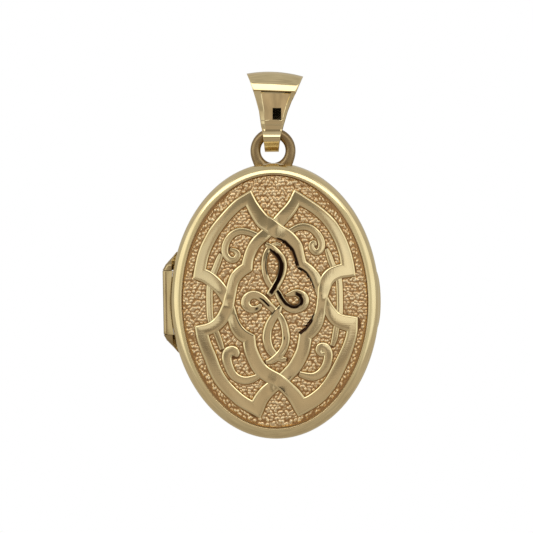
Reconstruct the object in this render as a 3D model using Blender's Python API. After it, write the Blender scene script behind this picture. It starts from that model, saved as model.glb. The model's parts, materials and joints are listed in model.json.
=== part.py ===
"""Oval hinged locket on a tapered bail: a struck knot panel in a polished rim, two photo frames inside.

Metres, +Z up, front towards -Y.  The origin is the chain seat, the top of the hollow inside the bail.
"""
import math

import bmesh
import bpy
import numpy as np
from mathutils import Matrix, Vector

MM = 0.001

# Body outline: an upright ellipse, its middle this far under the chain seat.
HALF_HEIGHT = 12.0
HALF_WIDTH = 9.075
BODY_Z = -19.5
SEGMENTS = 72
PARALLEL_INSET = 3.0
SEAM_Y = -0.55
SEAM_GAP = 0.02
FRONT_Y = -2.30
BACK_Y = 2.30

# Suspension loop: a round-wire ring standing on top of the back half.
LOOP_Z = BODY_Z + 13.10
LOOP_RADIUS = 1.525
LOOP_WIRE = 0.42

# Bail: one strap folded over the chain, its two ends joined under the loop.
BAIL_AXIS_Z = LOOP_Z + LOOP_RADIUS
BAIL_TOP_RADIUS = 1.35
BAIL_TOP_THICKNESS = 0.45
BAIL_SEAT_RADIUS = 0.76
BAIL_NOSE_Z = BODY_Z + 13.45
BAIL_NOSE_RADIUS = 0.50
BAIL_HEIGHTS = (-6.6, -4.4, -3.5, -1.1, 0.5)
BAIL_HALF_WIDTHS = (0.64, 0.76, 1.02, 1.80, 2.48)

# Hinge down the left side, its pin on the seam plane.
HINGE_X = -9.37
HINGE_RADIUS = 0.42
HINGE_HALF = 2.78
HINGE_CLEARANCE = 0.04
HINGE_FLAT = 0.36
PIN_RADIUS = 0.15
BORE_RADIUS = 0.19
PIN_HALF = 3.34
END_TIP = 4.40


def new_object(name, material):
    """Makes an empty mesh object with its material and links it to the scene."""
    mesh = bpy.data.meshes.new(name)
    mesh.materials.append(material)
    obj = bpy.data.objects.new(name, mesh)
    bpy.context.scene.collection.objects.link(obj)
    return obj


def finish(obj, bm, smooth=True):
    """Turns every face outwards, writes the mesh and sets the shading."""
    bmesh.ops.remove_doubles(bm, verts=bm.verts, dist=1e-7)
    bmesh.ops.recalc_face_normals(bm, faces=bm.faces)
    if bm.calc_volume(signed=True) < 0.0:
        bmesh.ops.reverse_faces(bm, faces=bm.faces)
    bm.to_mesh(obj.data)
    bm.free()
    for polygon in obj.data.polygons:
        polygon.use_smooth = smooth
    return obj


def finish_material(name, colour, roughness, metallic):
    """Principled material with the given colour, roughness and metallic value."""
    material = bpy.data.materials.new(name)
    material.use_nodes = True
    shader = material.node_tree.nodes["Principled BSDF"]
    shader.inputs["Base Color"].default_value = (*colour, 1.0)
    shader.inputs["Roughness"].default_value = roughness
    shader.inputs["Metallic"].default_value = metallic
    material.diffuse_color = (*colour, 1.0)
    return material


def outline(angle, inset):
    """Point (x, z) of the body outline moved inwards by inset; angle runs from the top, towards +X.

    Down to PARALLEL_INSET the curve is the true parallel of the ellipse, further in it shrinks evenly to
    the middle.
    """
    parallel = min(inset, PARALLEL_INSET)
    s = math.sin(angle)
    c = math.cos(angle)
    normal = Vector((HALF_HEIGHT * s, HALF_WIDTH * c)).normalized()
    x = HALF_WIDTH * s - parallel * normal.x
    z = HALF_HEIGHT * c - parallel * normal.y
    shrink = 1.0
    if inset > PARALLEL_INSET:
        shrink = (HALF_WIDTH - inset) / (HALF_WIDTH - PARALLEL_INSET)
    return x * shrink, z * shrink + BODY_Z


def edge_x(height):
    """Size of x on the body outline at a height over the middle of the body."""
    return HALF_WIDTH * math.sqrt(1.0 - (height / HALF_HEIGHT) ** 2)


def loft(bm, rows, closed_rows, caps):
    """Skins a list of equally long closed rows of points; caps fills the first and the last row."""
    verts = [[bm.verts.new(Vector(point) * MM) for point in row] for row in rows]
    pairs = list(zip(verts, verts[1:]))
    if closed_rows:
        pairs.append((verts[-1], verts[0]))
    for lower, upper in pairs:
        for i in range(len(lower)):
            j = (i + 1) % len(lower)
            bm.faces.new((lower[i], lower[j], upper[j], upper[i]))
    if caps:
        bm.faces.new(list(reversed(verts[0])))
        bm.faces.new(verts[-1])


def oval_ring(name, material, profile):
    """Ring that carries a closed section of (inset, y) points round the body outline."""
    obj = new_object(name, material)
    bm = bmesh.new()
    rows = []
    for inset, y in profile:
        row = []
        for k in range(SEGMENTS):
            x, z = outline(2.0 * math.pi * k / SEGMENTS, inset)
            row.append((x, y, z))
        rows.append(row)
    loft(bm, rows, True, False)
    return finish(obj, bm)


def oval_plate(name, material, profile):
    """Plate or shell from an open section of (inset, y) points; both end rows are filled flat."""
    obj = new_object(name, material)
    bm = bmesh.new()
    rows = []
    for inset, y in profile:
        row = []
        for k in range(SEGMENTS):
            x, z = outline(2.0 * math.pi * k / SEGMENTS, inset)
            row.append((x, y, z))
        rows.append(row)
    loft(bm, rows, False, True)
    return finish(obj, bm)


def tube_points(radius, flat=None, count=20):
    """Points (x, y) of a round hinge section about the pin, cut by a flat on its front when asked."""
    points = []
    for k in range(count):
        angle = 2.0 * math.pi * k / count
        y = radius * math.sin(angle)
        if flat is not None:
            y = max(y, -flat)
        points.append((HINGE_X + radius * math.cos(angle), SEAM_Y + y))
    return points


def z_prism(name, material, points, low, high):
    """Upright prism over (x, y) points between two heights over the middle of the body."""
    obj = new_object(name, material)
    bm = bmesh.new()
    rows = []
    for height in (low, high):
        rows.append([(x, y, height + BODY_Z) for x, y in points])
    loft(bm, rows, False, True)
    return finish(obj, bm)


def cut_away(target, cutter):
    """Takes the cutter out of the target and keeps only the target."""
    modifier = target.modifiers.new("cut", "BOOLEAN")
    modifier.operation = "DIFFERENCE"
    modifier.solver = "EXACT"
    modifier.object = cutter
    depsgraph = bpy.context.evaluated_depsgraph_get()
    mesh = bpy.data.meshes.new_from_object(target.evaluated_get(depsgraph))
    target.modifiers.clear()
    old = target.data
    target.data = mesh
    mesh.name = target.name
    bpy.data.meshes.remove(old)
    bpy.data.objects.remove(cutter, do_unlink=True)


def hull_profile(upper_z, upper_r, lower_z, lower_r, count):
    """Points (y, z) of a strap loop: two round ends of different size joined by their tangents."""
    lean = math.asin((upper_r - lower_r) / (upper_z - lower_z))
    half = count // 2
    points = []
    for k in range(half):
        angle = -lean + (math.pi + 2.0 * lean) * k / (half - 1)
        points.append((upper_r * math.cos(angle), upper_z + upper_r * math.sin(angle)))
    for k in range(half):
        angle = math.pi + lean + (math.pi - 2.0 * lean) * k / (half - 1)
        points.append((lower_r * math.cos(angle), lower_z + lower_r * math.sin(angle)))
    return points


def make_bail(material):
    """Folded strap with a tapering width: an outer and an inner loop joined along both side edges."""
    obj = new_object("bail", material)
    bm = bmesh.new()
    top_z = -BAIL_TOP_RADIUS
    inner = hull_profile(top_z, BAIL_TOP_RADIUS, BAIL_AXIS_Z, BAIL_SEAT_RADIUS, 40)
    outer = hull_profile(top_z, BAIL_TOP_RADIUS + BAIL_TOP_THICKNESS, BAIL_NOSE_Z, BAIL_NOSE_RADIUS, 40)
    rows = []
    for profile, side in ((outer, -1.0), (outer, 1.0), (inner, 1.0), (inner, -1.0)):
        row = []
        for y, z in profile:
            width = float(np.interp(z, BAIL_HEIGHTS, BAIL_HALF_WIDTHS))
            row.append((side * width, y, z))
        rows.append(row)
    loft(bm, rows, True, False)
    return finish(obj, bm)


def make_loop(material):
    """Wire ring in the XZ plane with its foot cut to sit on the top of the back half."""
    obj = new_object("suspension_loop", material)
    bm = bmesh.new()
    rows = []
    for i in range(44):
        turn = 2.0 * math.pi * i / 44
        row = []
        for j in range(14):
            angle = 2.0 * math.pi * j / 14
            radius = LOOP_RADIUS + LOOP_WIRE * math.cos(angle)
            point = (radius * math.sin(turn), LOOP_WIRE * math.sin(angle), LOOP_Z + radius * math.cos(turn))
            row.append(point)
        rows.append(row)
    loft(bm, rows, True, False)
    finish(obj, bm)
    seat = oval_plate("loop_seat_cutter", material, ((-0.03, -3.0), (-0.03, 3.0)))
    cut_away(obj, seat)
    for polygon in obj.data.polygons:
        polygon.use_smooth = True
    return obj


def make_hinge_end(name, material, side):
    """Tapered end knuckle on the back half: round over the pin, then running out along the body edge."""
    obj = new_object(name, material)
    bm = bmesh.new()
    heights = (HINGE_HALF + 0.04, 3.30, 3.62, 3.95, END_TIP)
    outer_x = (-9.79, -9.52, -9.24, -8.93, -8.55)
    radii = (HINGE_RADIUS, 0.34, 0.25, 0.17, 0.07)
    middle_y = (SEAM_Y, SEAM_Y, SEAM_Y + 0.20, SEAM_Y + 0.25, SEAM_Y + 0.18)
    rows = []
    for height, far, radius, mid in zip(heights, outer_x, radii, middle_y):
        centre = far + radius
        near = -edge_x(height) - 0.03
        row = []
        for k in range(13):
            angle = math.radians(-20.0 - 240.0 * k / 12.0)
            x = min(centre + radius * math.cos(angle), near - 0.01)
            row.append((x, mid + radius * math.sin(angle), side * height + BODY_Z))
        row.append((near, mid + radius * 0.9, side * height + BODY_Z))
        row.append((near, max(mid - radius * 0.2, SEAM_Y + 0.03), side * height + BODY_Z))
        rows.append(row)
    loft(bm, rows, False, True)
    finish(obj, bm)
    low = side * (HINGE_HALF - 0.3)
    high = side * (PIN_HALF + 0.04)
    bore = z_prism("bore_cutter", material, tube_points(BORE_RADIUS, count=16), low, high)
    cut_away(obj, bore)
    return obj


def make_knuckle(material):
    """Long middle knuckle, a bored tube with a flat on its front."""
    tube = tube_points(HINGE_RADIUS, HINGE_FLAT, 24)
    obj = z_prism("hinge_knuckle_center", material, tube, -HINGE_HALF, HINGE_HALF)
    bore = z_prism("bore_cutter", material, tube_points(BORE_RADIUS, count=16), -3.2, 3.2)
    cut_away(obj, bore)
    return obj


def make_web(material):
    """Strip that joins the middle knuckle to the side wall of the front cover."""
    obj = new_object("hinge_web", material)
    bm = bmesh.new()
    rows = []
    for k in range(9):
        height = -2.7 + 5.4 * k / 8
        near = -edge_x(height) - 0.03
        section = ((near, -1.34), (near, -0.97), (-9.18, -0.97), (-9.44, -1.03), (-9.42, -1.12))
        rows.append([(x, y, height + BODY_Z) for x, y in section])
    loft(bm, rows, False, True)
    return finish(obj, bm, smooth=False)


def make_thumb_lip(material):
    """Thin strip on the free side of the front cover that a thumbnail catches."""
    obj = new_object("thumb_lip", material)
    bm = bmesh.new()
    rows = []
    for k in range(11):
        angle = math.pi / 2.0 + math.radians(11.5) * (k - 5) / 5.0
        proud = 0.12 - 0.07 * abs(k - 5) / 5.0
        row = []
        for inset, y in ((-0.02, -0.60), (-proud, -0.60), (-proud, -0.80), (-0.02, -0.98)):
            x, z = outline(angle, inset)
            row.append((x, y, z))
        rows.append(row)
    loft(bm, rows, False, True)
    return finish(obj, bm, smooth=False)


def groove_cutter(material):
    """Cutter for the hinge channel in the side walls."""
    radius = HINGE_RADIUS + HINGE_CLEARANCE
    return z_prism("groove_cutter", material, tube_points(radius, count=32), -3.0, 3.0)


def make_covers(gold, panel_gold):
    """Front shell with its round rim and recess, the struck panel let into it, and the plain back shell."""
    seam = SEAM_Y - SEAM_GAP
    front = oval_plate("front_cover", gold, (
        (6.0, -1.90), (0.96, -1.90), (0.94, -2.04), (0.83, -2.17), (0.68, -2.27), (0.52, FRONT_Y),
        (0.36, -2.23), (0.22, -2.07), (0.10, -1.80), (0.03, -1.45), (0.0, -1.10), (0.0, seam),
        (0.38, seam), (0.38, -1.30), (0.46, -1.50), (0.64, -1.62), (6.0, -1.62)))
    cut_away(front, groove_cutter(gold))
    seam = SEAM_Y + SEAM_GAP
    back = oval_plate("back_cover", gold, (
        (6.0, BACK_Y), (1.60, BACK_Y), (1.05, 2.25), (0.55, 2.08), (0.22, 1.80), (0.05, 1.38),
        (0.0, 0.95), (0.0, seam), (0.38, seam), (0.38, 0.95), (0.48, 1.35), (0.74, 1.72), (1.10, 1.92),
        (6.0, 1.95)))
    cut_away(back, groove_cutter(gold))
    panel = oval_plate("knot_panel", panel_gold, (
        (8.0, -2.47), (6.0, -2.44), (4.0, -2.35), (2.4, -2.22), (1.6, -2.12), (1.0, -2.02), (1.0, -1.93),
        (8.0, -1.93)))
    return front, back, panel


def make_inside(gold, clear, paper):
    """Bands, photo frames, windows and blank photo cards of both halves."""
    oval_ring("back_snap_band", gold, (
        (0.45, -1.15), (0.45, -0.50), (0.41, -0.48), (0.41, 0.35), (1.70, 0.35), (1.70, 0.18),
        (0.78, 0.18), (0.78, -1.15)))
    oval_ring("back_photo_frame", gold, (
        (0.81, -0.42), (0.81, 0.15), (1.01, 0.15), (1.01, -0.24), (1.60, -0.24), (1.60, -0.34),
        (1.52, -0.42)))
    oval_plate("back_photo_window", clear, ((6.0, -0.21), (1.04, -0.21), (1.04, -0.03), (6.0, -0.03)))
    oval_plate("back_photo_card", paper, ((6.0, 0.0), (1.04, 0.0), (1.04, 0.15), (6.0, 0.15)))
    oval_ring("front_inner_band", gold, (
        (0.45, -1.20), (0.45, -1.36), (0.62, -1.36), (0.70, -1.59), (0.95, -1.59), (0.95, -1.36),
        (1.70, -1.36), (1.70, -1.20)))
    oval_ring("front_photo_frame", gold, (
        (1.08, -0.68), (0.99, -0.76), (0.91, -0.95), (0.84, -1.17), (1.06, -1.17), (1.06, -0.85),
        (1.60, -0.85), (1.60, -0.75), (1.52, -0.68)))
    oval_plate("front_photo_window", clear, ((6.0, -0.88), (1.09, -0.88), (1.09, -1.02), (6.0, -1.02)))
    oval_plate("front_photo_card", paper, ((6.0, -1.05), (1.09, -1.05), (1.09, -1.17), (6.0, -1.17)))


def build():
    """Builds every piece of the locket."""
    for obj in list(bpy.data.objects):
        bpy.data.objects.remove(obj, do_unlink=True)
    gold = finish_material("polished_gold", (0.62, 0.48, 0.27), 0.16, 1.0)
    panel_gold = finish_material("struck_gold", (0.60, 0.42, 0.24), 0.36, 1.0)
    clear = finish_material("clear_window", (0.90, 0.92, 0.92), 0.05, 0.0)
    paper = finish_material("plain_card", (0.86, 0.83, 0.76), 0.80, 0.0)
    make_bail(gold)
    make_loop(gold)
    make_covers(gold, panel_gold)
    make_inside(gold, clear, paper)
    make_hinge_end("hinge_end_upper", gold, 1.0)
    make_hinge_end("hinge_end_lower", gold, -1.0)
    make_knuckle(gold)
    make_web(gold)
    z_prism("hinge_pin", gold, tube_points(PIN_RADIUS, count=16), -PIN_HALF, PIN_HALF)
    make_thumb_lip(gold)
    shift_origins()


def shift_origins():
    """Puts the origin of the moving pieces on their joint axes."""
    hinge = Vector((HINGE_X, SEAM_Y, BODY_Z)) * MM
    swing = Vector((0.0, 0.0, BAIL_AXIS_Z)) * MM
    on_hinge = ("front_cover", "knot_panel", "front_inner_band", "front_photo_frame", "front_photo_window",
                "front_photo_card", "hinge_knuckle_center", "hinge_web", "thumb_lip")
    for obj in bpy.data.objects:
        if obj.name == "bail":
            continue
        place = hinge if obj.name in on_hinge else swing
        obj.data.transform(Matrix.Translation(-place))
        obj.location = place


build()
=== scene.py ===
"""Looks of the oval knotwork locket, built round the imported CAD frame.

Shapes are worked out in millimetres about the middle of the body: x to the right, z up, y towards the
back.  row_frame() turns them into metres in the row frame.
"""

import json
import math

import bmesh
import bpy
import numpy as np
from mathutils import Matrix, Vector


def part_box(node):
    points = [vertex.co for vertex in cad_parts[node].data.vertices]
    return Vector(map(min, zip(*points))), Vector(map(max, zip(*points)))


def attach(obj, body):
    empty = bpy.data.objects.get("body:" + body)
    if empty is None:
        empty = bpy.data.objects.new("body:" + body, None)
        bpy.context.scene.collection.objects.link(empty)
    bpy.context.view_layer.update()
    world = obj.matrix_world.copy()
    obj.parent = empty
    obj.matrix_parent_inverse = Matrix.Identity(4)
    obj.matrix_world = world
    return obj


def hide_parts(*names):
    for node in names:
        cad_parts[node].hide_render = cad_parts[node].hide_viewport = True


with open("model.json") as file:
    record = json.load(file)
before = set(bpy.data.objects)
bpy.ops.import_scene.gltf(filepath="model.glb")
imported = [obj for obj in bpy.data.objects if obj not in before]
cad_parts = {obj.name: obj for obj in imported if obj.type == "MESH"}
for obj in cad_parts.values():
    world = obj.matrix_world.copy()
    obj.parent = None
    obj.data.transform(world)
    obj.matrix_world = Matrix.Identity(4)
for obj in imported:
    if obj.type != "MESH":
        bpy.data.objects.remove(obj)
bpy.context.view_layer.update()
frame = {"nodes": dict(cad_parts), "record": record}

MM = 0.001

# Driving sizes, read from the frame.
FRONT_LOW, FRONT_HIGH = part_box("front_cover")
BACK_LOW, BACK_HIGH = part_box("back_cover")
BODY_Z = (FRONT_LOW.z + FRONT_HIGH.z) / 2.0 / MM
HALF_HEIGHT = (FRONT_HIGH.z - FRONT_LOW.z) / 2.0 / MM
HALF_WIDTH = FRONT_HIGH.x / MM
FRONT_SEAM = FRONT_HIGH.y / MM
BACK_SEAM = BACK_LOW.y / MM
CREST_Y = FRONT_LOW.y / MM
BACK_Y = BACK_HIGH.y / MM
JOINTS = {joint["name"]: joint for joint in frame["record"]["behaviour"]["joints"]}
HINGE_X = JOINTS["cover_hinge"]["pos_m"][0] / MM
HINGE_Y = JOINTS["cover_hinge"]["pos_m"][1] / MM
LOOP_TOP = JOINTS["bail_swing"]["pos_m"][2] / MM - BODY_Z
KNUCKLE_HALF = (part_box("hinge_knuckle_center")[1].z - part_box("hinge_knuckle_center")[0].z) / 2.0 / MM
BAIL_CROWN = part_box("bail")[1].z / MM - BODY_Z

# Body and panel.
PARALLEL_INSET = 3.0
PANEL_INSET = 1.0
PANEL_EDGE_Y = -2.00
DOME = 0.46
RELIEF = 0.27
PEBBLE_RELIEF = 0.12
GROUND_ROWS, GROUND_COLUMNS = 362, 268

# Hinge.
KNUCKLE_RADIUS = 0.42
GROOVE_RADIUS = 0.46
HINGE_TIP = 4.40

# Loop and bail.
WIRE = 0.42
LOOP_RADIUS = 1.525


# ---------------------------------------------------------------- meshes


def row_frame(points):
    """Millimetres about the body's middle to metres in the row frame."""
    return (points + np.array((0.0, 0.0, BODY_Z))) * MM


def grid_faces(rows, columns, wrap_rows, wrap_columns):
    """Corner numbers of the quads of a rows x columns grid, closed round either way when asked."""
    i = np.arange(rows if wrap_rows else rows - 1)[:, None]
    j = np.arange(columns if wrap_columns else columns - 1)[None, :]
    i2 = (i + 1) % rows
    j2 = (j + 1) % columns
    quads = np.stack([i * columns + j, i * columns + j2, i2 * columns + j2, i2 * columns + j], -1)
    return quads.reshape(-1, 4)


def add_surface(name, points, material, wrap_rows=False, wrap_columns=True, caps=False, crease=35.0,
                value=None):
    """Object from a grid of points (rows, columns, 3) in millimetres.

    Row i is joined to row i + 1 by quads; the rows and columns close on themselves when asked, and caps
    fills the first and last rows.  Coincident points are merged and faces turned outwards.  value is an
    optional number per point, kept as a point attribute: the strength of a painted dark reflection.
    """
    rows, columns = points.shape[:2]
    faces = grid_faces(rows, columns, wrap_rows, wrap_columns).tolist()
    if caps:
        faces.append(list(range(columns))[::-1])
        faces.append(list(range((rows - 1) * columns, rows * columns)))
    mesh = bpy.data.meshes.new(name)
    mesh.from_pydata(row_frame(points.reshape(-1, 3)).tolist(), [], faces)
    if value is not None:
        mesh.attributes.new("painted_dark_reflection", "FLOAT", "POINT").data.foreach_set("value", value.reshape(-1))
    bm = bmesh.new()
    bm.from_mesh(mesh)
    bmesh.ops.remove_doubles(bm, verts=bm.verts, dist=2e-7)
    bmesh.ops.dissolve_degenerate(bm, edges=bm.edges, dist=1e-7)
    if wrap_columns:
        bmesh.ops.recalc_face_normals(bm, faces=bm.faces)
    bm.to_mesh(mesh)
    bm.free()
    return add_object(name, mesh, material, crease)


def add_object(name, mesh, material, crease):
    """Links the mesh as an object at the origin with its material, smooth but for edges past crease."""
    mesh.polygons.foreach_set("use_smooth", np.ones(len(mesh.polygons), bool))
    mesh.set_sharp_from_angle(angle=math.radians(crease))
    mesh.materials.append(material)
    obj = bpy.data.objects.new(name, mesh)
    bpy.context.scene.collection.objects.link(obj)
    return obj


def smooth_path(points, step):
    """Catmull-Rom curve through the points, sampled every step millimetres; extra columns go along."""
    points = np.asarray(points, float)
    ends = np.vstack([2 * points[0] - points[1], points, 2 * points[-1] - points[-2]])
    u = np.linspace(0.0, 1.0, 24, endpoint=False)[:, None]
    spans = []
    for a, b, c, d in zip(ends, ends[1:], ends[2:], ends[3:]):
        spans.append(0.5 * (2 * b + (c - a) * u + (2 * a - 5 * b + 4 * c - d) * u ** 2
                            + (3 * b - a - 3 * c + d) * u ** 3))
    dense = np.vstack(spans + [points[-1:]])
    length = np.r_[0.0, np.cumsum(np.hypot(*np.diff(dense[:, :2], axis=0).T))]
    count = max(int(math.ceil(length[-1] / step)), 2) + 1
    at = np.linspace(0.0, length[-1], count)
    return np.stack([np.interp(at, length, dense[:, k]) for k in range(points.shape[1])], 1)


def oval(angle, inset):
    """Body outline moved inwards by inset, as x and z.

    The ellipse point less inset times its outward normal; past PARALLEL_INSET the curve shrinks evenly
    towards the middle.
    """
    angle, inset = np.broadcast_arrays(np.asarray(angle, float), np.asarray(inset, float))
    parallel = np.minimum(inset, PARALLEL_INSET)
    nx = HALF_HEIGHT * np.sin(angle)
    nz = HALF_WIDTH * np.cos(angle)
    size = np.hypot(nx, nz)
    shrink = 1.0 - np.maximum(inset - PARALLEL_INSET, 0.0) / (HALF_WIDTH - PARALLEL_INSET)
    x = (HALF_WIDTH * np.sin(angle) - parallel * nx / size) * shrink
    z = (HALF_HEIGHT * np.cos(angle) - parallel * nz / size) * shrink
    return x, z


def edge_x(z):
    """Half width of the body outline at height z."""
    return HALF_WIDTH * np.sqrt(1.0 - (np.asarray(z) / HALF_HEIGHT) ** 2)


def round_oval(profile, segments, groove=False):
    """Section of (inset, y) points carried round the body outline; groove presses the hinge channel in."""
    profile = np.asarray(profile, float)
    angle = np.linspace(0.0, 2.0 * math.pi, segments, endpoint=False)
    x, z = oval(angle[None, :], profile[:, :1])
    y = np.broadcast_to(profile[:, 1:2], x.shape)
    if groove:
        away_x = x - HINGE_X
        away_y = y - HINGE_Y
        near = np.hypot(away_x, away_y)
        inside = (near < GROOVE_RADIUS) & (np.abs(z) < KNUCKLE_HALF + 0.03)
        reach = np.sqrt(np.maximum(GROOVE_RADIUS ** 2 - away_y ** 2, 0.0))
        x = np.where(inside, HINGE_X + reach, x)
    return np.stack([x, y, z], -1)


def dome(x, z):
    """Front surface y of the panel ground: a paraboloid, highest in the middle."""
    across = (x / (HALF_WIDTH - PANEL_INSET)) ** 2 + (z / (HALF_HEIGHT - PANEL_INSET)) ** 2
    return PANEL_EDGE_Y - DOME * (1.0 - across)


# ---------------------------------------------------------------- finishes


def node(tree, kind, place, **settings):
    """New shader node at a place, with its properties set."""
    made = tree.nodes.new(kind)
    made.location = place
    for key, value in settings.items():
        setattr(made, key, value)
    return made


def noise(tree, place, vector, scale, detail=2.0):
    """Value of a noise texture on a vector."""
    made = node(tree, "ShaderNodeTexNoise", place)
    made.inputs["Scale"].default_value = scale
    made.inputs["Detail"].default_value = detail
    tree.links.new(vector, made.inputs["Vector"])
    return made.outputs["Fac"]


def combine(tree, operation, place, first, second):
    """Value of a math node on two sockets or numbers."""
    made = node(tree, "ShaderNodeMath", place, operation=operation)
    for socket, value in zip(made.inputs, (first, second)):
        if isinstance(value, float):
            socket.default_value = value
        else:
            tree.links.new(value, socket)
    return made.outputs[0]


def map_range(tree, place, value, start, end, low=0.0, high=1.0, **settings):
    """Value mapped from start..end to low..high."""
    made = node(tree, "ShaderNodeMapRange", place, **settings)
    for key, number in (("From Min", start), ("From Max", end), ("To Min", low), ("To Max", high)):
        made.inputs[key].default_value = number
    tree.links.new(value, made.inputs["Value"])
    return made.outputs["Result"]


def new_material(name):
    """Node material, with its node tree and its Principled shader."""
    material = bpy.data.materials.new(name)
    material.use_nodes = True
    return material, material.node_tree, material.node_tree.nodes["Principled BSDF"]


def metal_surface_group():
    """Polish marks: two fine stretched noises for hairlines, one slow noise for smudges.

    Roughness is the base value plus the smudges times the spread; Height is for a Bump node.
    """
    tree = bpy.data.node_groups.new("polish marks", "ShaderNodeTree")
    tree.interface.new_socket("Vector", in_out="INPUT", socket_type="NodeSocketVector")
    for name, value in (("Roughness", 0.1), ("Spread", 0.08), ("Hairlines", 0.3), ("Ripple", 0.3)):
        tree.interface.new_socket(name, in_out="INPUT", socket_type="NodeSocketFloat").default_value = value
    for name in ("Roughness", "Height", "Smudge"):
        tree.interface.new_socket(name, in_out="OUTPUT", socket_type="NodeSocketFloat")
    given = node(tree, "NodeGroupInput", (-900, 0)).outputs
    result = node(tree, "NodeGroupOutput", (700, 0)).inputs
    smudge = noise(tree, (-500, 200), given["Vector"], 420.0, 5.0)
    spread = combine(tree, "MULTIPLY", (-250, 250), smudge, given["Spread"])
    hairs = []
    for k, (turn, stretch) in enumerate(((0.5, (1.0, 1.0, 14.0)), (-0.9, (13.0, 1.0, 1.0)))):
        turned = node(tree, "ShaderNodeMapping", (-700, -150 - 250 * k))
        turned.inputs["Rotation"].default_value = (0.0, turn, 0.0)
        turned.inputs["Scale"].default_value = stretch
        tree.links.new(given["Vector"], turned.inputs["Vector"])
        hairs.append(noise(tree, (-500, -150 - 250 * k), turned.outputs[0], 900.0, 3.0))
    crossed = combine(tree, "ADD", (-250, -250), *hairs)
    fine = combine(tree, "MULTIPLY", (0, -200), crossed, given["Hairlines"])
    wave = noise(tree, (-500, 500), given["Vector"], 700.0, 1.0)
    ripple = combine(tree, "MULTIPLY", (0, 0), wave, given["Ripple"])
    tree.links.new(combine(tree, "ADD", (0, 250), spread, given["Roughness"]), result["Roughness"])
    tree.links.new(combine(tree, "ADD", (300, -100), fine, ripple), result["Height"])
    tree.links.new(smudge, result["Smudge"])
    return tree


def gold(name, colour, deep, roughness, spread, hairlines, ripple, bump=0.000004, pit_shade=None, paints_dark_reflection=False):
    """Gold with polish marks; deep is the tone of smudged places.

    With a pit colour the tone follows the "pebble" attribute instead, as painted shade: pit, deep, then
    colour on the tops.
    The last switch paints a dark reflection: the gold turns near black where the reflection strength
    attribute is high.
    """
    material, tree, shader = new_material(name)
    shader.inputs["Metallic"].default_value = 1.0
    marks = node(tree, "ShaderNodeGroup", (-900, 0), node_tree=POLISH_MARKS)
    for key, value in (("Roughness", roughness), ("Spread", spread), ("Hairlines", hairlines),
                       ("Ripple", ripple)):
        marks.inputs[key].default_value = value
    tree.links.new(node(tree, "ShaderNodeTexCoord", (-1200, 0)).outputs["Object"], marks.inputs["Vector"])
    tone = node(tree, "ShaderNodeValToRGB", (-550, 200))
    stops = tone.color_ramp.elements
    stops[0].position, stops[1].position = (0.24, 0.88) if pit_shade else (0.30, 0.62)
    stops[0].color, stops[1].color = (*deep, 1.0), (*colour, 1.0)
    source = marks.outputs["Smudge"]
    # Painted shade on the pebbled ground: the tone runs dark in the pits and beside the straps and the rim.
    if pit_shade:
        source = node(tree, "ShaderNodeAttribute", (-900, 300), attribute_name="pebble").outputs["Fac"]
        stops.new(0.0).color = (*pit_shade, 1.0)
    tree.links.new(source, tone.inputs["Fac"])
    base = tone.outputs["Color"]
    # Painted dark reflection: the gold turns near black where the point attribute is high.
    if paints_dark_reflection:
        dark = node(tree, "ShaderNodeAttribute", (-900, 550), attribute_name="painted_dark_reflection")
        cover = node(tree, "ShaderNodeMix", (-250, 300), data_type="RGBA")
        tree.links.new(dark.outputs["Fac"], cover.inputs["Factor"])
        tree.links.new(base, cover.inputs[6])
        cover.inputs[7].default_value = DARK_REFLECTION_COLOUR
        base = cover.outputs[2]
    tree.links.new(base, shader.inputs["Base Color"])
    tree.links.new(marks.outputs["Roughness"], shader.inputs["Roughness"])
    add_bump(tree, shader, marks.outputs["Height"], bump)
    return material


def add_bump(tree, shader, height, distance):
    """Bump of a height, as the shader's normal."""
    relief = node(tree, "ShaderNodeBump", (-250, -200))
    relief.inputs["Distance"].default_value = distance
    tree.links.new(height, relief.inputs["Height"])
    tree.links.new(relief.outputs["Normal"], shader.inputs["Normal"])


def clear_plastic():
    """Clear window sheet: full transmission, faint handling haze in the roughness."""
    material, tree, shader = new_material("clear window")
    shader.inputs["Base Color"].default_value = (0.96, 0.97, 0.97, 1.0)
    shader.inputs["Transmission Weight"].default_value = 1.0
    shader.inputs["IOR"].default_value = 1.49
    where = node(tree, "ShaderNodeTexCoord", (-900, 0)).outputs["Object"]
    haze = noise(tree, (-650, 0), where, 260.0, 4.0)
    tree.links.new(map_range(tree, (-400, 0), haze, 0.0, 1.0, 0.01, 0.07), shader.inputs["Roughness"])
    return material


def card_paper():
    """Plain matt card: fibres from a fine noise in the bump, a faint mottling in the colour."""
    material, tree, shader = new_material("plain card")
    shader.inputs["Roughness"].default_value = 0.8
    where = node(tree, "ShaderNodeTexCoord", (-1000, 0)).outputs["Object"]
    tone = node(tree, "ShaderNodeValToRGB", (-450, 150))
    tone.color_ramp.elements[0].color = (0.72, 0.68, 0.59, 1.0)
    tone.color_ramp.elements[1].color = (0.86, 0.83, 0.76, 1.0)
    tree.links.new(noise(tree, (-750, 150), where, 500.0), tone.inputs["Fac"])
    tree.links.new(tone.outputs["Color"], shader.inputs["Base Color"])
    add_bump(tree, shader, noise(tree, (-750, -150), where, 2600.0, 6.0), 0.00001)
    return material


# Near black of the painted dark reflections along the knot's straps.
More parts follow.
